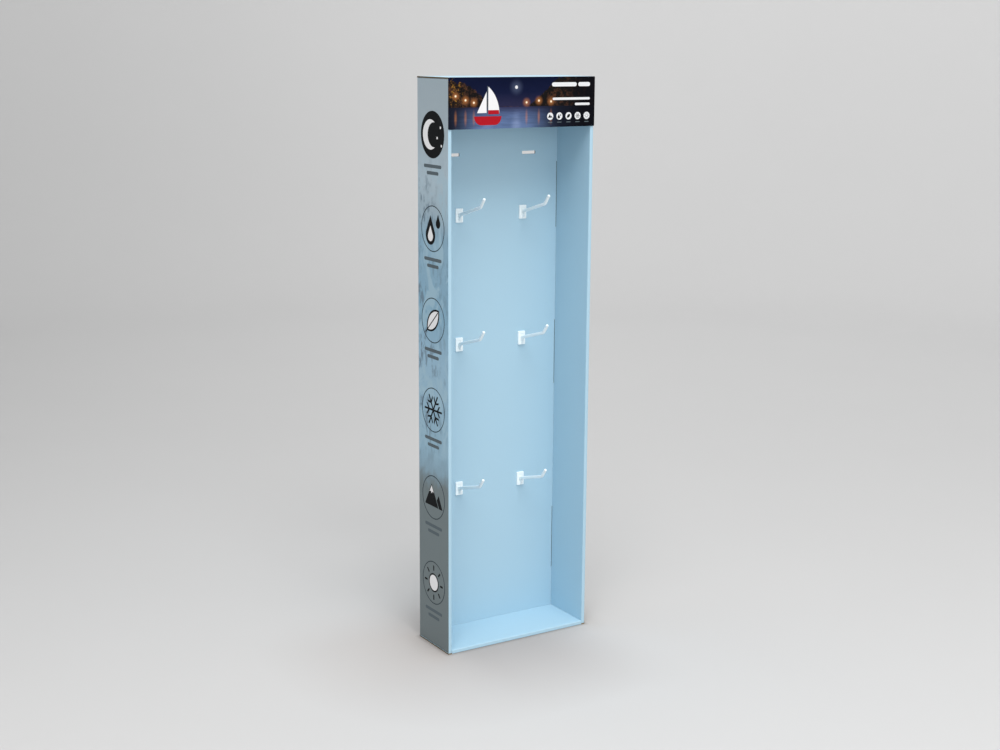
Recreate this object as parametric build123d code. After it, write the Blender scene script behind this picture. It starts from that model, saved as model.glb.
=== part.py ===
"""Floor-standing cardboard display: one folded tray, a header card and six push-in hooks.

Millimetres. The origin is the centre of the underside, +X runs to the viewer's right,
+Y to the back and +Z up, so the open front faces -Y.
"""
import os
from math import cos, radians, sin, tan

from build123d import *

# Outside of the folded stand
stand_width = 355.6
stand_depth = 127.0
stand_height = 1219.2

# Corrugated board and its creases
board = 2.8
fold_radius = 2.0
layer_gap = 0.3
side_hollow = 2.8

# Flaps of the side walls that lie inside the top and bottom walls
flap_reach = 96.0
flap_taper = 9.0
flap_corner = 12.0

# Lock tabs of the inner side walls and their slots in the back
lock_length = 144.0
lock_lead = 1.4
lock_sunk = 0.2
lock_slot_end_play = 1.0
lock_slot_side_play = 0.4
lock_slot_show = 1.0
lock_height_shares = (0.143, 0.5, 0.789)

# Hang slots high in the back
hang_slot_length = 34.0
hang_slot_height = 6.6
hang_slot_corner = 1.2
hang_slot_offset = 95.5
hang_slot_drop = 163.7

# Header card on the front, level with the top
header_height = 103.0
header_thickness = 2.0
header_corner = 2.0

# Places of the hooks
hook_offset = 80.0
hook_row_shares = (0.268, 0.5325, 0.761)
hook_row_names = ("bottom", "middle", "top")

# Front plate of a hook
plate_width = 18.0
plate_height = 30.0
plate_thickness = 3.5
plate_corner = 1.6
plate_edge = 0.5
pocket_width = 7.6
pocket_height = 21.6
pocket_depth = 0.8
pocket_lift = -1.3

# Arm and turned-up tip of a hook
arm_rise = 0.5
arm_slope = 15.6
arm_run = 91.0
arm_width = 5.6
arm_edge = 1.7
arm_root_height = 7.0
arm_bend_height = 6.2
tip_slope = 51.5
tip_run = 25.0
tip_height = 5.4
tip_edge = 1.1
bend_radius = 11.0

# Fin under the root of the arm
fin_thickness = 2.4
fin_reach = 11.0
fin_foot = 2.3

# Neck and turn-lock bar behind the board
neck_diameter = 7.6
neck_play = 0.3
bar_length = 26.0
bar_height = 7.0
bar_thickness = 3.0
bar_tip_thickness = 1.4
bar_gap = 0.3
slot_end_play = 0.7

# Cuts run past the faces by this much
overrun = 5.0

# Two points nearer than this are the same corner
same_corner = 0.05

# Places that follow from the sizes above
half_width = stand_width / 2
half_depth = stand_depth / 2
back_face = half_depth - board
side_wall = 2 * board + side_hollow
end_wall = 3 * board + 2 * layer_gap
flap_low = board + layer_gap
flap_high = flap_low + board
roll_half_width = half_width - side_wall - layer_gap
inner_side_low = flap_high + layer_gap
hook_slot_width = neck_diameter + 2 * neck_play
hook_slot_length = bar_length + 2 * slot_end_play


def slab(low, high):
    """A block between two opposite corners."""
    size = [b - a for a, b in zip(low, high)]
    middle = [(a + b) / 2 for a, b in zip(low, high)]
    return Pos(*middle) * Box(*size)


def round_corner(face, corner, radius):
    """The face with the corner at that place rounded."""
    spot = Vector(*corner)
    return fillet([v for v in face.vertices() if (Vector(v.X, v.Y) - spot).length < same_corner], radius)


def outline(points, folds=()):
    """A flat face through the points, rounded like a crease at the corners listed in folds."""
    face = make_face(Polyline(*points, close=True))
    for fold in folds:
        face = round_corner(face, fold, fold_radius)
    return face


def along_x(face, start, end):
    """Run a face drawn in Y and Z from one X to another."""
    return extrude(Plane.YZ.offset(start) * face, end - start)


def along_z(face, start, end):
    """Run a face drawn in X and Y from one Z to another."""
    return extrude(Pos(0, 0, start) * face, end - start)


def both_sides(solid):
    """The solid and its mirror image across the middle of the stand."""
    return solid + mirror(solid, about=Plane.YZ)


def both_ends(solid):
    """The solid and its mirror image across half the height."""
    return solid + mirror(solid, about=Plane.XY.offset(stand_height / 2))


def row_height(share):
    """Height of a row that sits at a share of the stand's height."""
    return share * stand_height


# Tray


def back_and_ends():
    """Back panel with the outer top and bottom panels folded forward from it."""
    front_stop = 2 * board - half_depth
    points = (
        (front_stop, 0),
        (half_depth, 0),
        (half_depth, stand_height),
        (front_stop, stand_height),
        (front_stop, stand_height - board),
        (back_face, stand_height - board),
        (back_face, board),
        (front_stop, board),
    )
    folds = ((half_depth, 0), (half_depth, stand_height))
    reach = half_width - board
    return along_x(outline(points, folds), -reach, reach)


def end_panel_ear():
    """Part of the bottom panel that runs out under a side wall, with its raw cut edge."""
    points = (
        (-half_depth, 0),
        (half_depth, 0),
        (half_depth, flap_low),
        (back_face, flap_low),
        (back_face, board),
        (-half_depth, board),
    )
    return along_x(outline(points, ((half_depth, 0),)), roll_half_width, half_width)


def end_roll():
    """Front edge and inner panel of the bottom wall, rolled back over the flaps."""
    inner_stop = back_face - layer_gap
    points = (
        (0, 0),
        (-half_depth, 0),
        (-half_depth, end_wall),
        (inner_stop, end_wall),
        (inner_stop, end_wall - board),
        (board - half_depth, end_wall - board),
        (board - half_depth, board),
        (0, board),
    )
    folds = ((-half_depth, 0), (-half_depth, end_wall))
    return along_x(outline(points, folds), -roll_half_width, roll_half_width)


def side_outer():
    """Rear crease, outer side panel and front edge of the right side wall."""
    inside = half_width - side_wall
    points = (
        (half_width - board, half_depth),
        (half_width, half_depth),
        (half_width, -half_depth),
        (inside, -half_depth),
        (inside, board - half_depth),
        (half_width - board, board - half_depth),
    )
    folds = ((half_width, half_depth), (half_width, -half_depth), (inside, -half_depth))
    return along_z(outline(points, folds), flap_low, stand_height - flap_low)


def side_inner():
    """Inner panel of the right side wall, rolled in from the front edge."""
    inside = half_width - side_wall
    return slab(
        (inside, board - half_depth, inner_side_low),
        (inside + board, back_face - layer_gap, stand_height - inner_side_low),
    )


def side_flap():
    """Flap folded in from the lower end of the right outer side panel."""
    root = half_width - board
    end = half_width - flap_reach
    front = board + layer_gap - half_depth
    rear = back_face - layer_gap
    points = (
        (root, front),
        (root, rear),
        (root - flap_corner, rear),
        (end, rear - flap_taper),
        (end, front + flap_taper),
        (root - flap_corner, front),
    )
    return along_z(outline(points), flap_low, flap_high)


def side_flap_crease():
    """What the rounded crease leaves out of the square edge beside the flap."""
    front = board + layer_gap - half_depth
    rear = back_face - layer_gap
    edge = slab(
        (half_width - fold_radius, front, flap_low),
        (half_width, rear, flap_low + fold_radius),
    )
    centre = Plane(
        origin=(half_width - fold_radius, (front + rear) / 2, flap_low + fold_radius),
        z_dir=(0, 1, 0),
    )
    return edge - centre * Cylinder(fold_radius, rear - front)


def lock_tabs():
    """Tabs on the rear edge of the right inner side panel."""
    inside = half_width - side_wall
    root = back_face - board
    end = half_depth - lock_sunk
    tabs = []
    for share in lock_height_shares:
        low = row_height(share) - lock_length / 2
        high = low + lock_length
        points = (
            (root, low),
            (end - lock_lead, low),
            (end, low + lock_lead),
            (end, high - lock_lead),
            (end - lock_lead, high),
            (root, high),
        )
        tabs.append(along_x(outline(points), inside, inside + board))
    return tabs


def lock_slots():
    """Slots in the back that the right-hand lock tabs pass through."""
    inside = half_width - side_wall
    half_slot = lock_length / 2 + lock_slot_end_play
    return [
        slab(
            (inside - lock_slot_show, back_face - layer_gap / 2, row_height(share) - half_slot),
            (inside + board + lock_slot_side_play, half_depth + overrun, row_height(share) + half_slot),
        )
        for share in lock_height_shares
    ]


def through_back(shape, x, z):
    """The shape cut straight through the back panel."""
    cut = extrude(Plane.XZ * shape, (board + overrun) / 2, both=True)
    return Pos(x, half_depth - board / 2, z) * cut


def hang_slot():
    """Slot near the top that the stand hangs from on a wall or a shelf end."""
    shape = RectangleRounded(hang_slot_length, hang_slot_height, hang_slot_corner)
    return through_back(shape, hang_slot_offset, stand_height - hang_slot_drop)


def hook_slots():
    """Upright slots that the turn-lock bars of the right-hand hooks pass through."""
    shape = Rectangle(hook_slot_width, hook_slot_length)
    return [through_back(shape, hook_offset, row_height(share)) for share in hook_row_shares]


def tray():
    """The whole folded tray, one sheet of board."""
    walls = back_and_ends()
    walls += both_ends(end_roll())
    walls += both_ends(both_sides(end_panel_ear()))
    side = side_outer() + side_inner() + both_ends(side_flap())
    side -= both_ends(side_flap_crease())
    walls += both_sides(side)
    for slot in lock_slots() + hook_slots() + [hang_slot()]:
        walls -= both_sides(slot)
    for tab in lock_tabs():
        walls += both_sides(tab)
    return walls


# Header card


def header_card():
    """Stiff printed card that lies on the front edges of the tray."""
    card = extrude(
        Plane.XZ * RectangleRounded(stand_width, header_height, header_corner),
        header_thickness,
    )
    return Pos(0, -half_depth, stand_height - header_height / 2) * card


# Hook: the back of its plate lies on the plane Y = 0 and the arm points along -Y


def hook_plate():
    """Front plate with a shallow pocket between its two upright edges."""
    outer = RectangleRounded(plate_width, plate_height, plate_corner)
    plate = extrude(Plane.XZ * outer, plate_thickness)
    front_edges = plate.faces().sort_by(Axis.Y)[0].edges()
    plate = chamfer(front_edges, plate_edge)
    pocket_floor = Plane.XZ.offset(plate_thickness - pocket_depth) * Pos(0, pocket_lift)
    pocket = extrude(pocket_floor * Rectangle(pocket_width, pocket_height), overrun)
    return plate - pocket


def slope_vectors(slope):
    """The way forwards at a slope, in Y and Z, and the way square to it and up."""
    return Vector(-cos(radians(slope)), sin(radians(slope))), Vector(sin(radians(slope)), cos(radians(slope)))


def hook_arm():
    """Sloping arm, one bend and the turned-up tip, with rounded edges and a bevelled end."""
    forwards, up = slope_vectors(arm_slope)
    tip_forwards, tip_up = slope_vectors(tip_slope)
    half_turn = radians((tip_slope - arm_slope) / 2)
    bend_up = slope_vectors((arm_slope + tip_slope) / 2)[1] * (1 / cos(half_turn))
    root = Vector(-plate_thickness / 2, arm_rise)
    bend = root + forwards * arm_run
    tip = bend + tip_forwards * tip_run
    bend_top = bend + bend_up * (arm_bend_height / 2)
    bend_foot = bend - bend_up * (arm_bend_height / 2)
    tip_top = tip + tip_up * (tip_height / 2)
    tip_foot = tip - tip_up * (tip_height / 2)
    side = outline(
        [
            (point.X, point.Y)
            for point in (
                root + up * (arm_root_height / 2),
                bend_top,
                tip_top,
                tip_foot,
                bend_foot,
                root - up * (arm_root_height / 2),
            )
        ]
    )
    side = round_corner(side, bend_top, bend_radius - arm_bend_height / 2)
    side = round_corner(side, bend_foot, bend_radius + arm_bend_height / 2)
    arm = along_x(side, -arm_width / 2, arm_width / 2)
    ends = arm.faces().filter_by(Axis.X, reverse=True).sort_by(Axis.Y)
    end_edges = ends[0].edges() + ends[-1].edges()
    long_edges = [
        edge
        for edge in arm.edges()
        if edge.bounding_box().size.X < same_corner and all(edge.center() != other.center() for other in end_edges)
    ]
    arm = fillet(long_edges, arm_edge)
    tip_end = arm.faces().filter_by(GeomType.PLANE).sort_by(Axis.Z)[-1]
    return chamfer(tip_end.edges(), tip_edge)


def hook_fin():
    """Upright fin that braces the arm from below."""
    inside = -plate_thickness / 2
    foot = fin_foot - plate_height / 2
    front = -plate_thickness - fin_reach
    points = (
        (inside, arm_rise),
        (inside, foot),
        (-plate_thickness, foot),
        (front, arm_rise + fin_reach * tan(radians(arm_slope))),
    )
    return along_x(outline(points), -fin_thickness / 2, fin_thickness / 2)


def hook_lock():
    """Neck through the board and the bar that a quarter turn sets across the slot."""
    bar_front = board + bar_gap
    bar_back = bar_front + bar_thickness
    neck = Plane(origin=(0, 0, 0), z_dir=(0, 1, 0)) * Cylinder(
        neck_diameter / 2,
        bar_back,
        align=(Align.CENTER, Align.CENTER, Align.MIN),
    )
    half_bar = bar_length / 2
    half_neck = neck_diameter / 2
    ramp = bar_back - bar_tip_thickness
    points = (
        (-half_bar, ramp),
        (-half_neck, bar_front),
        (half_neck, bar_front),
        (half_bar, ramp),
        (half_bar, bar_back),
        (-half_bar, bar_back),
    )
    bar = along_z(outline(points), -bar_height / 2, bar_height / 2)
    return neck + bar


def hook():
    """One moulded hook in its own position."""
    return hook_plate() + hook_arm() + hook_fin() + hook_lock()


# Writing the pieces


def placed_hooks():
    """Every hook with its name, at its place on the back panel."""
    one = hook()
    pieces = {}
    for row, share in zip(hook_row_names, hook_row_shares):
        for column, x in (("left", -hook_offset), ("right", hook_offset)):
            pieces[f"hook_{row}_{column}"] = Pos(x, back_face, row_height(share)) * one
    return pieces


def main():
    os.makedirs("parts", exist_ok=True)
    pieces = {"tray": tray(), "header_card": header_card()}
    pieces.update(placed_hooks())
    for name, solid in pieces.items():
        export_step(solid, f"parts/{name}.step")


main()
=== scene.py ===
"""The looks of the cardboard display stand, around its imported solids.

Metres, in the frame of the solids: the origin is the centre of the underside, +X runs to
the viewer's right, +Y to the back and +Z up, so the open front faces -Y.
"""

from math import acos, asin, cos, degrees, pi, radians, sin

import bmesh
import bpy
from mathutils import Matrix, Vector


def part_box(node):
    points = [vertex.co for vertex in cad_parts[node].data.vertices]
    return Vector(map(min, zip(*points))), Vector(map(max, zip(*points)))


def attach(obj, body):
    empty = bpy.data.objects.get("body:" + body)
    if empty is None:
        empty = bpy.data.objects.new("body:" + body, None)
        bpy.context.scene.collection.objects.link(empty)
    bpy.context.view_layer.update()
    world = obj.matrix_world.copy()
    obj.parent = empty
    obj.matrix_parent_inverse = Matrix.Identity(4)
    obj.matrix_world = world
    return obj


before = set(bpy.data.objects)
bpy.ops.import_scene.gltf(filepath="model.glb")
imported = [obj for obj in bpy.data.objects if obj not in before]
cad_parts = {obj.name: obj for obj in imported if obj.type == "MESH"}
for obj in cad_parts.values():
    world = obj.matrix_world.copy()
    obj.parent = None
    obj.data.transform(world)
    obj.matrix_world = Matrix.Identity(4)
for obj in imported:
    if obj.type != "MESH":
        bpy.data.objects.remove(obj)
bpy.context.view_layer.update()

# Sizes read from the solids
tray_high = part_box("tray")[1]
card_low, card_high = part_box("header_card")
half_width = tray_high.x
half_depth = tray_high.y
stand_height = tray_high.z
card_front = card_low.y
card_width = card_high.x - card_low.x
card_height = card_high.z - card_low.z

# Millimetres in a metre
mm = 1000.0

# Board, as in the solids
board = 0.0028
side_wall = 0.0084
layer_gap = 0.0003
fold_radius = 0.002
tab_sunk = 0.0002
back_face = half_depth - board
tab_root = half_width - side_wall
roll_half_width = half_width - side_wall - layer_gap

# Looks of the board: how far a crease reaches, the pitch of the flutes and a hair of play
crease_reach = 1.5 * fold_radius
flute_pitch = 0.0065
hair = 0.00012

# Board colours, linear
board_blue = (0.407, 0.603, 0.725)
kraft = (0.253, 0.181, 0.101)
# The next three colours are painted shade: the hollows of the cut flutes on the ends' side and
# front edges and in the slots, darkened to stand for the shade inside them
ear_hollow_shade = (0.051, 0.046, 0.025)
ear_front_hollow_shade = (0.189, 0.156, 0.104)
slot_hollow_shade = (0.011, 0.010, 0.007)
side_cloud = (0.337, 0.506, 0.607)
side_shade = (0.121, 0.179, 0.234)
card_core = (0.590, 0.581, 0.557)
plastic_white = (0.890, 0.970, 0.998)
white = (1.0, 1.0, 1.0)

# Header picture colours, linear
dusk = (0.028, 0.028, 0.071)
tree_dark = (0.009, 0.008, 0.008)
tree_brown = (0.071, 0.032, 0.019)
leaf_gold = (0.396, 0.189, 0.028)
lamp_warm = (0.585, 0.217, 0.066)
lamp_core = (1.000, 0.860, 0.620)
moon_glow = (0.283, 0.358, 0.566)
water_dark = (0.009, 0.011, 0.021)
night = (0.004, 0.004, 0.006)

# Ink colours, linear
ink_colours = {
    "black": (0.010, 0.011, 0.012),
    "line": (0.036, 0.050, 0.059),
    "white": (0.792, 0.792, 0.802),
    "grey": (0.104, 0.132, 0.148),
    "red": (0.396, 0.011, 0.019),
    "pale": (0.736, 0.745, 0.764),
}

# Noises: features a metre, levels of detail, roughness and swirl
cloudy_noise = (3.0, 3.0)
fibre_noise = (700.0, 3.0, 0.6)
torn_noise = (900.0, 3.0)
side_cloud_noise = (12.0, 5.0, 0.6, 0.8)
side_streak_noise = (38.0, 4.0, 0.65)
haze_noise = (24.0, 4.0, 0.6)
crown_noise = (60.0, 5.0, 0.65)
bark_noise = (130.0, 4.0, 0.7)
leaf_noise = (240.0, 3.0, 0.7)
ripple_noise = (95.0, 3.0, 0.6)
grain_noise = (1400.0, 2.0)
flow_noise = (60.0, 2.0)
floor_noise = (2.0, 2.0)
noise_middle = 0.5

# Relief of the surfaces, in metres
washboard_relief = 0.000006
board_relief = 0.000018
card_relief = 0.000010
ink_relief = 0.000012
plastic_relief = 0.000006

# What a noise does to a tone or roughness: where it starts, and how far it rises
board_tone = (0.985, 0.022)
side_tone = (0.97, 0.06)
card_tone = (0.95, 0.10)
ink_tone = (0.94, 0.12)
plastic_tone = (0.985, 0.02)
sky_tone = (0.65, 0.30)
water_tone = (0.55, 0.90)
streak_tone = (0.35, 0.60)
path_tone = (0.15, 0.50)
floor_tone = (0.99, 0.02)
board_roughness = (0.42, 0.10)
print_roughness = (0.28, 0.08)
plastic_roughness = (0.30, 0.08)

# Other tones and roughness, and how glossy each surface is
board_fibre_tone = 0.012
edge_roughness = 0.35
grain_roughness = 0.05
floor_roughness = 0.75
board_gloss = 0.38
print_gloss = 0.02
plastic_gloss = 0.5
floor_gloss = 0.15

# A surface faces a way where more than this share of its direction runs that way
mostly = 0.5

# Printed motifs: steps of an arc, a film's thickness, how deep it sits and what a layer adds
arc_steps = 40
end_steps = 12
ink_film = 0.00012
ink_sunk = 0.00002
layer_share = 0.5

# Corners of a film's outline closer than this are one, in millimetres
weld_distance = 0.001

# Socket numbers of a mix node that mixes colours
mix_share = 0
mix_first = 6
mix_second = 7
mix_result = 2


# Material building: a material is written as plain sums of sockets


class Term:
    """One number that varies over a surface, which sums can be written with."""

    def __init__(self, graph, socket):
        self.graph = graph
        self.socket = socket

    def __add__(self, other):
        return self.graph.math("ADD", self, other)

    def __radd__(self, other):
        return self.graph.math("ADD", other, self)

    def __sub__(self, other):
        return self.graph.math("SUBTRACT", self, other)

    def __rsub__(self, other):
        return self.graph.math("SUBTRACT", other, self)

    def __mul__(self, other):
        return self.graph.math("MULTIPLY", self, other)

    def __truediv__(self, other):
        return self.graph.math("DIVIDE", self, other)

    def __gt__(self, other):
        return self.graph.math("GREATER_THAN", self, other)

    def __lt__(self, other):
        return self.graph.math("LESS_THAN", self, other)

    def __abs__(self):
        return self.graph.math("ABSOLUTE", self)


class Graph:
    """The nodes of one material."""

    def __init__(self, name):
        self.material = bpy.data.materials.new(name)
        self.material.use_nodes = True
        self.nodes = self.material.node_tree.nodes
        self.links = self.material.node_tree.links
        self.surface = self.nodes["Principled BSDF"]

    def node(self, kind, **settings):
        made = self.nodes.new(kind)
        for name, value in settings.items():
            setattr(made, name, value)
        return made

    def feed(self, socket, value):
        """Put a term, a socket or a plain value into a socket."""
        source = value.socket if isinstance(value, Term) else value
        if isinstance(source, bpy.types.NodeSocket):
            self.links.new(source, socket)
        elif isinstance(source, tuple) and socket.type == "RGBA":
            socket.default_value = (*source, 1)
        else:
            socket.default_value = source

    def math(self, operation, *values):
        made = self.node("ShaderNodeMath", operation=operation)
        for socket, value in zip(made.inputs, values):
            self.feed(socket, value)
        return Term(self, made.outputs[0])

    def least(self, first, second):
        return self.math("MINIMUM", first, second)

    def most(self, first, second):
        return self.math("MAXIMUM", first, second)

    def place(self):
        """The point's X, Y and Z on the object."""
        return self.split(self.node("ShaderNodeTexCoord").outputs["Object"])

    def facing(self):
        """The surface direction's X, Y and Z."""
        return self.split(self.node("ShaderNodeTexCoord").outputs["Normal"])

    def seen(self):
        """1 where the surface is looked at, straight or reflected, and 0 in its bounced light."""
        rays = self.node("ShaderNodeLightPath").outputs
        straight, glossy, through = [
            Term(self, rays[kind])
            for kind in ("Is Camera Ray", "Is Glossy Ray", "Is Transmission Ray")
        ]
        return self.most(straight, self.most(glossy, through))

    def split(self, vector):
        made = self.node("ShaderNodeSeparateXYZ")
        self.feed(made.inputs[0], vector)
        return [Term(self, output) for output in made.outputs]

    def join(self, x, y, z):
        made = self.node("ShaderNodeCombineXYZ")
        for socket, value in zip(made.inputs, (x, y, z)):
            self.feed(socket, value)
        return made.outputs[0]

    def rise(self, value, low, high):
        """A smooth rise from 0 at low to 1 at high."""
        made = self.node("ShaderNodeMapRange", interpolation_type="SMOOTHSTEP")
        self.feed(made.inputs["Value"], value)
        self.feed(made.inputs["From Min"], low)
        self.feed(made.inputs["From Max"], high)
        return Term(self, made.outputs[0])

    def wave(self, place, pitch):
        """A wave between -1 and 1 along a length."""
        return self.math("SINE", place * (2 * pi / pitch))

    def noise(self, vector, scale, detail, roughness=0.5, distortion=0.0):
        """Soft noise from 0 to 1 with that many features a metre."""
        made = self.node("ShaderNodeTexNoise")
        self.feed(made.inputs["Vector"], vector)
        self.feed(made.inputs["Scale"], scale)
        self.feed(made.inputs["Detail"], detail)
        self.feed(made.inputs["Roughness"], roughness)
        self.feed(made.inputs["Distortion"], distortion)
        return Term(self, made.outputs["Fac"])

    def mix(self, share, first, second):
        """The first colour, turning to the second as share goes from 0 to 1."""
        made = self.node("ShaderNodeMix", data_type="RGBA")
        self.feed(made.inputs[mix_share], share)
        self.feed(made.inputs[mix_first], first)
        self.feed(made.inputs[mix_second], second)
        return made.outputs[mix_result]

    def shade(self, colour, share):
        """The colour times a number."""
        made = self.node("ShaderNodeVectorMath", operation="SCALE")
        self.feed(made.inputs[0], colour)
        self.feed(made.inputs["Scale"], share)
        return made.outputs[0]

    def ramp(self, value, stops):
        """A colour from (place, colour) stops along a value from 0 to 1."""
        made = self.node("ShaderNodeValToRGB")
        self.feed(made.inputs[0], value)
        marks = made.color_ramp.elements
        while len(marks) < len(stops):
            marks.new(1)
        for mark, (place, colour) in zip(marks, stops):
            mark.position = place
            mark.color = (*colour, 1)
        return made.outputs[0]

    def bump(self, height):
        """Relief from a height in metres."""
        made = self.node("ShaderNodeBump")
        self.feed(made.inputs["Distance"], 1.0)
        self.feed(made.inputs["Height"], height)
        self.links.new(made.outputs[0], self.surface.inputs["Normal"])

    def finish(self, colour, roughness, gloss):
        """Connect what the surface is made of."""
        self.feed(self.surface.inputs["Base Color"], colour)
        self.feed(self.surface.inputs["Roughness"], roughness)
        self.surface.inputs["Specular IOR Level"].default_value = gloss
        return self.material


def varied(noise, start, spread):
    """A number that rises from its start by a spread as the noise goes from 0 to 1."""
    return start + noise * spread


# Raw edges of the board: liners and flutes in shares of its thickness, then the torn paper and the
# painted shade that darkens the edges inside the slots
middle = 0.5
liner_share = 0.14
medium_share = 0.13
swing_share = 0.32
torn_range = (0.45, 0.65)
torn_cover = 0.6
torn_cover_lost = 0.45
slot_shade_dimming = 0.6

# Colours of the outer sides from the foot up: share of the height, colour
side_stops = (
    (0.00, (0.132, 0.164, 0.172)),
    (0.295, (0.145, 0.185, 0.196)),
    (0.325, (0.223, 0.349, 0.438)),
    (0.36, (0.267, 0.436, 0.555)),
    (0.52, (0.293, 0.472, 0.611)),
    (0.60, (0.223, 0.404, 0.541)),
    (0.73, (0.241, 0.402, 0.525)),
    (0.775, (0.332, 0.438, 0.511)),
    (0.83, (0.402, 0.511, 0.583)),
    (0.93, (0.344, 0.420, 0.467)),
    (1.00, (0.332, 0.408, 0.458)),
)

# Clouding of the sides: how it is squeezed, how far it moves the colours and where it shows
cloud_squeeze = 1.6
streak_squeeze = 2.2
streak_stretch = 0.8
cloud_shift = 0.06
streak_shift = 0.03
zone_start = (0.32, 0.40)
zone_end = (0.78, 0.90)
dark_front_share = 0.35
light_range = (0.50, 0.60)
light_cover = 0.75
dark_streak_range = (0.48, 0.58)
dark_cloud_range = (0.45, 0.56)
dark_cover = 0.85

# How far a crease has turned to the front or back where the print of the side gives way
side_turn = (0.68, 0.74)


def end_distance(graph, z):
    """Distance from the nearer end of the stand."""
    return graph.least(z, stand_height - z)


def raw_edge(graph, place, facing):
    """Where the board shows a cut edge, and the colour there: liners with the flutes between, the
    flute hollows and the edges inside the slots darkened as painted shade.
    """
    x, y, z = place
    face_x, face_y, face_z = [abs(term) for term in facing]
    from_end = end_distance(graph, z)
    far_x = abs(x)

    ear = (far_x > roll_half_width) * (from_end < board + hair)
    ear = ear * (face_z < mostly) * (facing[1] < mostly)
    slot = (y > back_face + hair) * (face_y < mostly)
    slot = slot * (far_x < half_width - crease_reach) * (from_end > crease_reach)
    tab = (facing[1] > mostly) * (y < half_depth - tab_sunk / 2) * (y > back_face + hair)
    tab = tab * (far_x > tab_root - hair) * (far_x < tab_root + board + hair)

    depth = ear * (from_end / board) + slot * ((y - back_face) / board)
    depth = depth + tab * ((far_x - tab_root) / board)
    across = (1 - tab) * (face_x < mostly)
    from_middle = abs(depth - middle)
    liner = graph.rise(from_middle, middle - liner_share, middle - liner_share / 2)
    from_medium = abs(depth - middle - graph.wave(x, flute_pitch) * swing_share)
    medium = across * (1 - graph.rise(from_medium, medium_share / 2, medium_share))
    torn = graph.rise(graph.noise(graph.join(x, y, z), *torn_noise), *torn_range)
    torn = (1 - across) * torn * (torn_cover - slot * torn_cover_lost)
    solid = graph.most(liner, graph.most(medium, torn))
    # Painted shade: the flute hollows take the dark colours that stand for the shade inside them
    hollow_shade = graph.mix(ear, slot_hollow_shade, graph.mix(across, ear_hollow_shade, ear_front_hollow_shade))
    # Painted shade: the edges inside the slots are dimmed as if in shadow
    colour = graph.shade(graph.mix(solid, hollow_shade, kraft), 1 - slot * slot_shade_dimming)
    return graph.least(ear + slot + tab, 1.0), colour


def side_field(graph, place):
    """Printed colour field of the outer sides: pale grey, a clouded steel blue and a dark foot."""
    x, y, z = place
    height_share = z / stand_height
    clouds = graph.noise(graph.join(x, y * cloud_squeeze, z), *side_cloud_noise)
    streak_place = graph.join(x, y * streak_squeeze, z * streak_stretch)
    streaks = graph.noise(streak_place, *side_streak_noise)
    shift = (clouds - noise_middle) * cloud_shift + (streaks - noise_middle) * streak_shift
    base = graph.ramp(height_share + shift, side_stops)
    zone = graph.rise(height_share, *zone_start) * (1 - graph.rise(height_share, *zone_end))
    rear = graph.rise(y, -half_depth, half_depth)
    light = graph.rise(clouds, *light_range) * zone * light_cover
    dark = graph.rise(1 - streaks, *dark_streak_range) * graph.rise(1 - clouds, *dark_cloud_range)
    dark = dark * zone * varied(rear, dark_front_share, 1 - dark_front_share) * dark_cover
    base = graph.mix(light, base, side_cloud)
    return graph.mix(dark, base, side_shade)


def tray_material():
    """Light blue ink over white liner, with the sides' colour field and the raw brown edges, whose
    hollows are darkened as painted shade.
    """
    graph = Graph("printed_corrugated_board")
    place = graph.place()
    facing = graph.facing()
    x, y, z = place
    vector = graph.join(x, y, z)
    edge, edge_colour = raw_edge(graph, place, facing)

    cloudy = graph.noise(vector, *cloudy_noise)
    fibre = graph.noise(vector, *fibre_noise)
    blue = graph.shade(board_blue, varied(cloudy, *board_tone) + fibre * board_fibre_tone)
    outer_side = (abs(x) > half_width - fold_radius) * (end_distance(graph, z) > board + hair)
    outer_side = outer_side * (1 - graph.rise(abs(facing[1]), *side_turn))
    side = graph.shade(side_field(graph, place), varied(fibre, *side_tone))
    colour = graph.mix(outer_side, blue, side)
    colour = graph.mix(edge, colour, edge_colour)

    along = x + (abs(facing[0]) > mostly) * (y - x)
    washboard = graph.wave(along, flute_pitch) * washboard_relief * (1 - edge)
    graph.bump(washboard + fibre * board_relief)
    roughness = varied(fibre, *board_roughness) + edge * edge_roughness
    return graph.finish(colour, roughness, board_gloss)


# Header card: its printed evening, in shares of its width and height from the lower left corner
shore_share = 0.42
lamp_shares = (
    (0.045, 0.64),
    (0.110, 0.56),
    (0.165, 0.51),
    (0.520, 0.50),
    (0.605, 0.53),
    (0.690, 0.51),
)
moon_share = (0.450, 0.80)
boat_share = (0.255, 0.15)
path_share = (moon_share[0], 0.0)
wake_share = (boat_share[0], 0.10)

# Sky and water: colours at shares of the card's height, the lit width and the ripples
sky_stops = (
    (shore_share, dusk),
    (0.70, (0.008, 0.012, 0.043)),
    (1.0, (0.005, 0.008, 0.031)),
)
water_stops = (
    (0.0, (0.104, 0.160, 0.302)),
    (0.26, (0.080, 0.118, 0.236)),
    (shore_share, dusk),
)
water_lit_start = (0.00, 0.26)
water_lit_end = (0.46, 0.76)
ripple_squeeze = 2.6
ripple_stretch = 0.25

# Trees: where each wood begins and ends, how high it rises, and its crowns, bark and leaves
left_wood = (0.02, 0.36)
left_wood_height = 0.52
right_wood = (0.50, 0.80)
right_wood_height = 0.60
hedge_height = 0.02
crown_least = 0.05
crown_height = 0.7
wood_edge = (0.0, 0.03)
bark_range = (0.46, 0.66)
leaf_range = (0.55, 0.66)
leaf_reach = (0.04, 0.13)
leaf_cover = 0.8

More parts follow.
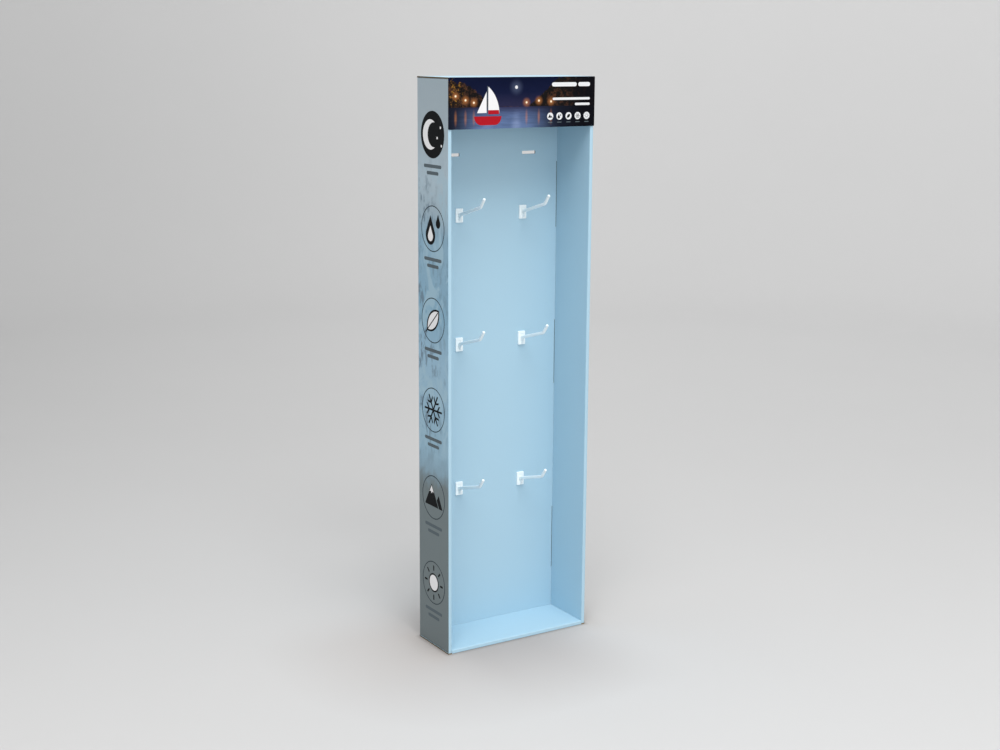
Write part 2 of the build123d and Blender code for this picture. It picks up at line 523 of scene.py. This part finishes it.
# Lights on the card: radii in metres, how much longer than wide, and how strongly they show
lamp_radius = 0.012
lamp_cover = 0.55
core_radius = 0.0032
core_gain = 1.6
streak_radius = 0.0045
streak_length = 4.6
streak_height_share = 0.50
halo_radius = 0.020
halo_cover = 0.16
path_radius = 0.016
path_length = 2.6
wake_radius = 0.024
wake_length = 0.5

# The black right end of the card: where it sets in, and how far it covers the picture
night_range = (0.72, 0.92)
night_cover = 0.94


def on_card(share):
    """A place on the card's front, in metres from its lower left corner."""
    return (share[0] * card_width, share[1] * card_height)


def glow(graph, u, v, centre, radius, stretch=1.0):
    """A soft round spot of light around a point of the card, longer upright where stretched."""
    du = (u - centre[0]) / radius
    dv = (v - centre[1]) / (radius * stretch)
    reach = graph.math("SQRT", du * du + dv * dv)
    return 1 - graph.rise(reach, 0.0, 1.0)


def evening_sky(graph, vector, up):
    """Navy sky, a little lighter over the shore."""
    haze = graph.noise(vector, *haze_noise)
    return graph.shade(graph.ramp(up, sky_stops), varied(haze, *sky_tone))


def wooded_shore(graph, vector, across, up, picture):
    """Dark trees that rise to both ends of the card, with gold leaves in the lamplight."""
    crowns = graph.noise(vector, *crown_noise)
    left = (1 - graph.rise(across, *left_wood)) * left_wood_height
    right = graph.rise(across, *right_wood) * right_wood_height
    skyline = shore_share + hedge_height + left + right
    skyline = skyline + (crowns - noise_middle) * (left + right + crown_least) * crown_height
    wood = graph.rise(skyline - up, *wood_edge)
    brown = graph.rise(graph.noise(vector, *bark_noise), *bark_range)
    trees = graph.mix(brown, tree_dark, tree_brown)
    gold = graph.rise(graph.noise(vector, *leaf_noise), *leaf_range)
    gold = gold * (1 - graph.rise(across, *leaf_reach))
    trees = graph.mix(gold * leaf_cover, trees, leaf_gold)
    return graph.mix(wood, picture, trees)


def water(graph, ripple, across, up):
    """Slate blue water, dark towards both ends."""
    colour = graph.shade(graph.ramp(up, water_stops), varied(ripple, *water_tone))
    lit = graph.rise(across, *water_lit_start) * (1 - graph.rise(across, *water_lit_end))
    return graph.mix(1 - lit, colour, water_dark)


def lamplight(graph, u, v, ripple, on_water, picture):
    """Warm lamps along the shore, each with a streak on the water."""
    warm = 0.0
    core = 0.0
    streak_height = shore_share * card_height * streak_height_share
    for lamp in lamp_shares:
        spot = on_card(lamp)
        streak = glow(graph, u, v, (spot[0], streak_height), streak_radius, streak_length)
        warm = warm + glow(graph, u, v, spot, lamp_radius)
        warm = warm + streak * on_water * varied(ripple, *streak_tone)
        core = core + glow(graph, u, v, spot, core_radius)
    picture = graph.mix(graph.least(warm, 1.0) * lamp_cover, picture, lamp_warm)
    return graph.mix(graph.least(core * core_gain, 1.0), picture, lamp_core)


def moonlight(graph, u, v, ripple, on_water, picture):
    """A faint halo round the moon, its path on the water and the boat's wake."""
    halo = glow(graph, u, v, on_card(moon_share), halo_radius) * halo_cover
    path = glow(graph, u, v, on_card(path_share), path_radius, path_length) * on_water
    wake = glow(graph, u, v, on_card(wake_share), wake_radius, wake_length) * on_water
    return graph.mix(halo + (path + wake) * varied(ripple, *path_tone), picture, moon_glow)


def header_material():
    """Printed evening over water: navy sky, wooded shore, warm lamps and a black right end."""
    graph = Graph("printed_header_card")
    x, y, z = graph.place()
    facing = graph.facing()
    u = x - card_low.x
    v = z - card_low.z
    across = u / card_width
    up = v / card_height
    vector = graph.join(x, y, z)
    fibre = graph.noise(vector, *fibre_noise)
    ripple = graph.noise(graph.join(x * ripple_stretch, y, z * ripple_squeeze), *ripple_noise)
    on_water = up < shore_share

    picture = wooded_shore(graph, vector, across, up, evening_sky(graph, vector, up))
    picture = graph.mix(on_water, picture, water(graph, ripple, across, up))
    picture = lamplight(graph, u, v, ripple, on_water, picture)
    picture = moonlight(graph, u, v, ripple, on_water, picture)
    picture = graph.mix(graph.rise(across, *night_range) * night_cover, picture, night)
    printed = graph.most(facing[1] < -mostly, abs(facing[0]) > mostly)
    colour = graph.mix(printed, card_core, graph.shade(picture, varied(fibre, *card_tone)))
    graph.bump(fibre * card_relief)
    return graph.finish(colour, varied(fibre, *print_roughness), print_gloss)


# Hooks


def hook_material():
    """Moulded white plastic with a fine satin grain."""
    graph = Graph("moulded_white_plastic")
    x, y, z = graph.place()
    vector = graph.join(x, y, z)
    grain = graph.noise(vector, *grain_noise)
    flow = graph.noise(vector, *flow_noise)
    graph.bump(grain * plastic_relief)
    colour = graph.shade(plastic_white, varied(flow, *plastic_tone))
    roughness = varied(flow, *plastic_roughness) + grain * grain_roughness
    return graph.finish(colour, roughness, plastic_gloss)


# Inks of the printed motifs


def ink_material(name, colour):
    """One printed ink, with the paper's fine grain in it."""
    graph = Graph(name)
    x, y, z = graph.place()
    fibre = graph.noise(graph.join(x, y, z), *fibre_noise)
    graph.bump(fibre * ink_relief)
    colour = graph.shade(colour, varied(fibre, *ink_tone))
    return graph.finish(colour, varied(fibre, *print_roughness), print_gloss)


# Dressing the solids


def dress(node, material):
    """Give a node's surface its material."""
    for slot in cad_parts[node].material_slots:
        slot.material = material


dress("tray", tray_material())
dress("header_card", header_material())
plastic = hook_material()
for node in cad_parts:
    if node.startswith("hook_"):
        dress(node, plastic)

inks = {name: ink_material(f"ink_{name}", colour) for name, colour in ink_colours.items()}


# Outlines of printed shapes, as lists of points in millimetres about their own centre


def arc(centre, radius, start, end, steps=arc_steps):
    """Points along an arc between two angles in degrees."""
    turns = [radians(start + (end - start) * i / steps) for i in range(steps + 1)]
    return [(centre[0] + radius * cos(a), centre[1] + radius * sin(a)) for a in turns]


def circle(centre, radius):
    """Points round a full circle."""
    return arc(centre, radius, 0, 360)[:-1]


def ring(radius, line):
    """The two outlines of a ring."""
    return [circle((0, 0), radius), circle((0, 0), radius - line)]


def pill(centre, length, height):
    """A bar with round ends."""
    reach = (length - height) / 2
    right = arc((centre[0] + reach, centre[1]), height / 2, -90, 90, end_steps)
    left = arc((centre[0] - reach, centre[1]), height / 2, 90, 270, end_steps)
    return right + left


def turned(points, angle):
    """The points turned about the centre by degrees."""
    c = cos(radians(angle))
    s = sin(radians(angle))
    return [(c * u - s * v, s * u + c * v) for u, v in points]


def moved(points, place):
    """The points moved by a place."""
    return [(u + place[0], v + place[1]) for u, v in points]


def scaled(points, size):
    """The points of a unit outline at a size."""
    return [(u * size, v * size) for u, v in points]


def lens(length, bulge):
    """Two arcs that meet in points, as a leaf has."""
    radius = (length * length / 4 + bulge * bulge) / (2 * bulge)
    half = degrees(asin(length / 2 / radius))
    low = arc((0, radius - bulge), radius, 270 - half, 270 + half)
    high = arc((0, bulge - radius), radius, 90 - half, 90 + half)
    return low + high[1:-1]


def drop(height):
    """A round drop that runs up into a point."""
    radius = height * 0.32
    tip = height - radius
    lean = degrees(asin(radius / tip))
    return [(0, tip)] + arc((0, 0), radius, 180 - lean, 360 + lean)


# Motifs of the badges: films of ink from the lowest up, each an ink and its outlines


def crescent(size):
    """A pale moon and small stars."""
    radius = size * 0.32
    bite = radius * 0.82
    shift = radius * 0.46
    horn = (radius * radius - bite * bite + shift * shift) / (2 * shift)
    outer = degrees(acos(horn / radius))
    inner = degrees(acos((horn - shift) / bite))
    rim = arc((0, 0), radius, outer, 360 - outer)
    moon = rim + arc((shift, 0), bite, 360 - inner, inner)[1:-1]
    moon_place = (-size * 0.09, 0)
    star_radius = size * 0.028
    star_places = ((0.34, 0.16), (0.20, -0.06), (0.38, -0.22))
    stars = [circle((size * u, size * v), star_radius) for u, v in star_places]
    return [("white", [moved(moon, moon_place)] + stars)]


def drops(size):
    """Two dark drops with a pale core in the larger."""
    large_place = (-size * 0.10, -size * 0.15)
    small_place = (size * 0.23, size * 0.12)
    core_place = (large_place[0], large_place[1] - size * 0.02)
    large = moved(drop(size * 0.64), large_place)
    small = moved(drop(size * 0.30), small_place)
    core = moved(drop(size * 0.34), core_place)
    return [("black", [large, small]), ("white", [core])]


def leaf(size):
    """A slanted leaf: pale blade, dark rim and vein."""
    slant = 42
    rim = lens(size * 0.72, size * 0.20)
    blade = lens(size * 0.62, size * 0.155)
    vein = pill((-size * 0.07, 0), size * 0.74, size * 0.026)
    return [
        ("black", [turned(rim, slant)]),
        ("white", [turned(blade, slant)]),
        ("black", [turned(vein, slant)]),
    ]


def snowflake(size):
    """Six arms with two barbs each, as one outline."""
    arms = 6
    arm_turn = 360 / arms
    arm = size * 0.38
    half = size * 0.022
    root = size * 0.17
    thick = size * 0.055
    along = size * 0.075
    out = size * 0.10
    upper = [
        (arm, half),
        (root + thick, half),
        (root + thick + along, half + out),
        (root + along, half + out),
        (root, half),
    ]
    lower = [(u, -v) for u, v in reversed(upper)]
    fork = (2 * half * cos(radians(arm_turn / 2)), half)
    outline = []
    for number in range(arms):
        outline += turned(lower + upper + [fork], arm_turn * number)
    return [("black", [outline])]


def mountains(size):
    """Two dark peaks, the higher with a pale cap."""
    large = ((-0.38, -0.21), (0.22, -0.21), (-0.08, 0.30))
    small = ((0.25, -0.21), (0.40, -0.21), (0.23, 0.09), (0.145, -0.04))
    cap = (
        (-0.08, 0.265),
        (-0.175, 0.105),
        (-0.122, 0.128),
        (-0.08, 0.078),
        (-0.038, 0.128),
        (0.015, 0.105),
    )
    peaks = [scaled(large, size), scaled(small, size)]
    return [("black", peaks), ("white", [scaled(cap, size)])]


def sun(size):
    """A pale disc in a dark rim, with eight rays."""
    ray_count = 8
    ray = pill((size * 0.345, 0), size * 0.13, size * 0.045)
    rays = [turned(ray, 360 / ray_count * number) for number in range(ray_count)]
    rim = ring(size * 0.22, size * 0.035)
    disc = circle((0, 0), size * 0.182)
    return [("black", rim + rays), ("white", [disc])]


# Adding to the scene


def added(name, data):
    """A new object in the scene."""
    made = bpy.data.objects.new(name, data)
    bpy.context.scene.collection.objects.link(made)
    return made


# Laying the films on the object


def film_mesh(name, outlines, height):
    """A closed flat mesh through the outlines, from its base up to a height, in millimetres."""
    curve = bpy.data.curves.new(name, "CURVE")
    curve.dimensions = "2D"
    curve.fill_mode = "BOTH"
    curve.extrude = height / 2
    for points in outlines:
        spline = curve.splines.new("POLY")
        spline.points.add(len(points) - 1)
        for point, (u, v) in zip(spline.points, points):
            point.co = (u, v, height / 2, 1)
        spline.use_cyclic_u = True
    holder = bpy.data.objects.new(name + "_outline", curve)
    mesh = bpy.data.meshes.new_from_object(holder)
    bpy.data.objects.remove(holder)
    bpy.data.curves.remove(curve)
    shape = bmesh.new()
    shape.from_mesh(mesh)
    bmesh.ops.remove_doubles(shape, verts=shape.verts, dist=weld_distance)
    bmesh.ops.recalc_face_normals(shape, faces=shape.faces)
    shape.to_mesh(mesh)
    shape.free()
    mesh.name = name
    return mesh


def face_frame(origin, right, up):
    """The matrix of a face from a place on it and its two directions."""
    out = Vector(right).cross(Vector(up))
    turn = Matrix((right, up, out)).transposed().to_4x4()
    return Matrix.Translation(origin) @ turn


def print_film(name, outlines, ink, face, layer=0):
    """Lay a film of ink on a face of the object; later layers stand a little higher."""
    thickness = (ink_film * (1 + layer * layer_share) + ink_sunk) * mm
    mesh = film_mesh(name, outlines, thickness)
    mesh.transform(face @ Matrix.Translation((0, 0, -ink_sunk)) @ Matrix.Scale(1 / mm, 4))
    mesh.materials.clear()
    mesh.materials.append(inks[ink])
    piece = added(name, mesh)
    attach(piece, "root")


def print_motif(name, films, face, first_layer=0):
    """Lay the films of a motif one over the other."""
    for number, (ink, outlines) in enumerate(films):
        layer = first_layer + number
        print_film(f"{name}_{layer}_{ink}", outlines, ink, face, layer)


# Side badges, in millimetres: an even column of rings over two bars each, the top one a disc
badge_motifs = {
    "moon": crescent,
    "drops": drops,
    "leaf": leaf,
    "flake": snowflake,
    "peaks": mountains,
    "sun": sun,
}
badge_size = 96.0
badge_line = 2.0
badge_top_share = 0.905
badge_foot_share = 0.118
bar_height = 7.0

# Each bar under a badge: its length, and how far its middle lies below the badge
badge_bars = ((72.0, 16.0), (48.0, 30.0))


def side_badges():
    """The badges of the left side."""
    span = badge_foot_share - badge_top_share
    last = len(badge_motifs) - 1
    for number, (title, motif) in enumerate(badge_motifs.items()):
        badge_height = (badge_top_share + span * number / last) * stand_height
        face = face_frame((-half_width, 0, badge_height), (0, -1, 0), (0, 0, 1))
        name = f"badge_{title}"
        on_disc = number == 0
        if on_disc:
            disc = circle((0, 0), badge_size / 2)
            print_film(name + "_disc", [disc], "black", face)
        else:
            rim = ring(badge_size / 2, badge_line)
            print_film(name + "_ring", rim, "line", face)
        print_motif(name, motif(badge_size), face, int(on_disc))
        bars = [
            pill((0, -badge_size / 2 - gap), length, bar_height)
            for length, gap in badge_bars
        ]
        print_film(name + "_bars", bars, "grey", face)


# Header print, in millimetres: a sailing boat, bars that end at one line and a row of discs
boat_height = 68.0
moon_radius = 3.4
bars_end_share = 0.965
disc_radius = 7.6
disc_pitch = 23.0
disc_row_share = 0.215
disc_motif_share = 0.95
disc_motifs = (sun, snowflake, leaf, drops, mountains)

# Each bar: its gap from the line, share of the card's height, length and height
header_bars = (
    (0.0, 0.845, 30.0, 8.5),
    (34.0, 0.845, 62.0, 8.5),
    (0.0, 0.560, 94.0, 5.0),
    (0.0, 0.450, 38.0, 5.0),
)

# The bar under each disc: length, height and how far down it lies
disc_bar = (11.0, 1.6, 12.5)


def printed_at(share):
    """A place on the card's front, in millimetres from its lower left corner."""
    return [length * mm for length in on_card(share)]


def sailing_boat(face):
    """Pale sails over a red hull."""
    leech = arc((-0.62, 0.20), 1.04, 0, 52)
    main_sail = [(0.03, 0.20), (0.42, 0.20)] + leech[1:-1] + [(0.03, 1.0)]
    jib = [(-0.03, 0.24), (-0.03, 0.86), (-0.36, 0.24)]
    stern = arc((-0.20, 0.14), 0.26, 180, 270)
    bow = arc((0.26, 0.10), 0.22, 270, 350)
    hull = [(-0.46, 0.14)] + stern[1:] + bow + [(0.50, 0.14)]
    mast = [(-0.008, 0.14), (0.008, 0.14), (0.008, 1.03), (-0.008, 1.03)]
    stripe = [(0.03, 0.20), (0.42, 0.20), (0.40, 0.32), (0.03, 0.32)]
    sails, body, pole, band = [
        [moved(scaled(shape, boat_height), printed_at(boat_share)) for shape in shapes]
        for shapes in ([main_sail, jib], [hull], [mast], [stripe])
    ]
    print_film("boat_sails", sails, "white", face)
    print_film("boat_hull", body, "red", face)
    print_film("boat_mast", pole, "grey", face, 1)
    print_film("boat_stripe", band, "red", face, 1)


def header_print():
    """What is printed on the card's front over its evening picture."""
    face = face_frame((card_low.x, card_front, card_low.z), (1, 0, 0), (0, 0, 1))
    height = card_height * mm
    end = bars_end_share * card_width * mm
    sailing_boat(face)
    moon = circle(printed_at(moon_share), moon_radius)
    print_film("header_moon", [moon], "pale", face)
    bars = [
        pill((end - gap - length / 2, up * height), length, bar)
        for gap, up, length, bar in header_bars
    ]
    print_film("header_bars", bars, "pale", face)
    places = [
        (end - disc_radius - disc_pitch * number, disc_row_share * height)
        for number in range(len(disc_motifs))
    ]
    discs = [circle(place, disc_radius) for place in places]
    print_film("header_discs", discs, "pale", face)
    length, bar, gap = disc_bar
    captions = [pill((u, v - gap), length, bar) for u, v in places]
    print_film("header_disc_bars", captions, "grey", face)
    motif_size = disc_radius * 2 * disc_motif_share
    for number, (place, motif) in enumerate(zip(places, disc_motifs)):
        spot = face @ Matrix.Translation((place[0] / mm, place[1] / mm, 0))
        dark_films = [film for film in motif(motif_size) if film[0] == "black"]
        print_motif(f"header_disc_{number}", dark_films, spot, 1)


side_badges()
header_print()


# Studio: a pale dish of a floor whose rim rises all round, soft light and the camera
floor_radius = 4.2
rim_radius = 2.6
rim_height = 4.0
floor_sides = 128
rim_steps = 16
floor_albedo = 0.55

# How light the floor looks, as painted light: its level, and what distance, height and the right
# side change
floor_level = 0.461
near_fall = 0.199
near_lift = 0.162
rim_lift = 0.102
right_lift = 0.170
near_range = (5.0, -1.6)
rim_range = (0.0, 3.0)
right_range = (-4.0, 0.5)

# Painted shade on the floor: a dark painted line at the foot, painted contact shade round it and a
# painted soft shadow
shadow_line_reach = 0.012
shadow_line_depth = 0.25
contact_shade_reach = 0.06
contact_shade_tone = (0.935, 0.930, 0.920)
shade_reach = 0.37
shade_tone = (0.755, 0.700, 0.675)
shade_left_share = 0.60
shade_left_range = (-0.25, -0.10)
shade_right_end = 0.26
shade_back_end = 0.36

# A painted patch of light behind the stand, lifting the lamp's shadow there: where it begins and
# ends, its middle, width and strength
light_patch_start = (0.10, 0.40)
light_patch_end = (0.60, 0.95)
light_patch_middle = 0.08
light_patch_width = (0.10, 0.32)
light_patch_lift = 0.06

# Lamps, with turns and heights in degrees, and the even light
world_level = 0.801
key_turn = 22.0
key_height = 61.5
key_distance = 7.5
key_size = 4.8
key_power = 424.0
fill_turn = 8.0
fill_height = 15.0
fill_distance = 5.2
fill_size = 2.2
fill_power = 29.4

# Camera, with its lens and sensor in millimetres
camera_yaw = radians(32.0456)
camera_pitch = radians(12.1313)
camera_roll = radians(0.3582)
camera_place = (-1.7565, -2.7866, 1.2921)
camera_lens = 56.078
camera_reach = 50.0
sensor_width = 36.0


def floor_material():
    """Pale grey with painted light and shade: seen a little darker behind the stand and lighter up
    the rim and to the right, with a painted shadow round the foot and a painted patch of light
    behind the stand.
    """
    graph = Graph("studio_floor")
    x, y, z = graph.place()
    seen = graph.seen()
    forward = x * sin(camera_yaw) + y * cos(camera_yaw)
    sideways = x * cos(camera_yaw) - y * sin(camera_yaw)
    near = graph.rise(forward, *near_range)
    high = graph.rise(z, *rim_range)
    rightward = graph.rise(sideways, *right_range)
    level = floor_level - near * near_fall + near * near * near * near_lift
    level = level + high * rim_lift + rightward * right_lift

    # Painted shadow round the foot: a dark line, contact shade and a soft shadow that fades to the
    # right and behind
    beside = graph.most(abs(x) - half_width, 0.0)
    before = graph.most(abs(y) - half_depth, 0.0)
    reach = graph.math("SQRT", beside * beside + before * before)
    shadow_line = 1 - graph.rise(reach, 0.0, shadow_line_reach)
    contact_shade = 1 - graph.rise(reach, 0.0, contact_shade_reach)
    shade = graph.most(1 - reach / shade_reach, 0.0)
    shade = shade * (1 - graph.rise(x, 0.0, shade_right_end))
    shade = shade * (1 - graph.rise(y, half_depth, shade_back_end))
    left = graph.rise(x, *shade_left_range)
    shade = shade * varied(left, shade_left_share, 1 - shade_left_share)
    # Painted light: a lighter patch on the floor behind the stand
    light_patch = graph.rise(y, *light_patch_start) * (1 - graph.rise(y, *light_patch_end))
    light_patch = light_patch * (1 - graph.rise(abs(x - light_patch_middle), *light_patch_width))

    soft = graph.noise(graph.join(x, y, z), *floor_noise)
    share = floor_albedo + seen * (level * (1 + light_patch * light_patch_lift) - floor_albedo)
    share = share * varied(soft, *floor_tone) * (1 - shadow_line * seen * shadow_line_depth)
    tone = graph.mix(contact_shade * seen, white, contact_shade_tone)
    tone = graph.mix(shade * seen, tone, shade_tone)
    return graph.finish(graph.shade(tone, share), floor_roughness, floor_gloss)


def studio_floor():
    """A flat round floor with a smooth rim, as one mesh."""
    profile = [(floor_radius, 0.0)]
    for step in range(1, rim_steps + 1):
        turn = pi / 2 * step / rim_steps
        profile.append((floor_radius + rim_radius * sin(turn), rim_radius * (1 - cos(turn))))
    profile.append((floor_radius + rim_radius, rim_height))
    shape = bmesh.new()
    centre = shape.verts.new((0, 0, 0))
    turns = [2 * pi * i / floor_sides for i in range(floor_sides)]
    rings = [
        [shape.verts.new((radius * cos(a), radius * sin(a), height)) for a in turns]
        for radius, height in profile
    ]
    for i in range(floor_sides):
        shape.faces.new((centre, rings[0][i], rings[0][(i + 1) % floor_sides]))
    for low, high in zip(rings, rings[1:]):
        for i in range(floor_sides):
            j = (i + 1) % floor_sides
            shape.faces.new((low[i], high[i], high[j], low[j]))
    bmesh.ops.recalc_face_normals(shape, faces=shape.faces)
    for face in shape.faces:
        face.smooth = True
    mesh = bpy.data.meshes.new("studio_floor")
    shape.to_mesh(mesh)
    shape.free()
    mesh.materials.append(floor_material())
    floor = added("studio_floor", mesh)


def soft_lamp(name, turn, height, distance, size, power):
    """A square lamp to the front left that looks at the stand and isn't seen itself."""
    turn = radians(turn)
    height = radians(height)
    way = Vector((-sin(turn) * cos(height), -cos(turn) * cos(height), sin(height)))
    data = bpy.data.lights.new(name, "AREA")
    data.shape = "SQUARE"
    data.size = size
    data.energy = power
    lamp = added(name, data)
    lamp.location = Vector((0, 0, stand_height / 2)) + way * distance
    lamp.rotation_mode = "QUATERNION"
    lamp.rotation_quaternion = (-way).to_track_quat("-Z", "Y")
    lamp.visible_camera = False


def studio_light():
    """Even light from all round with a soft key lamp and a weaker low one."""
    world = bpy.data.worlds.new("studio")
    world.use_nodes = True
    sky = world.node_tree.nodes["Background"]
    sky.inputs["Color"].default_value = (*white, 1)
    sky.inputs["Strength"].default_value = world_level
    bpy.context.scene.world = world
    soft_lamp("key_lamp", key_turn, key_height, key_distance, key_size, key_power)
    soft_lamp("fill_lamp", fill_turn, fill_height, fill_distance, fill_size, fill_power)


def studio_camera():
    """The photograph's viewpoint, worked out from the stand's corners."""
    data = bpy.data.cameras.new("photo_camera")
    data.lens = camera_lens
    data.sensor_width = sensor_width
    data.clip_end = camera_reach
    ahead = Vector(
        (
            sin(camera_yaw) * cos(camera_pitch),
            cos(camera_yaw) * cos(camera_pitch),
            -sin(camera_pitch),
        )
    )
    level = Vector((cos(camera_yaw), -sin(camera_yaw), 0))
    upright = level.cross(ahead)
    right = level * cos(camera_roll) + upright * sin(camera_roll)
    up = upright * cos(camera_roll) - level * sin(camera_roll)
    turn = Matrix((right, up, -ahead)).transposed()
    camera = added("photo_camera", data)
    camera.matrix_world = Matrix.Translation(camera_place) @ turn.to_4x4()
    bpy.context.scene.camera = camera


studio_floor()
studio_light()
studio_camera()
bpy.context.scene.view_settings.view_transform = "Standard"
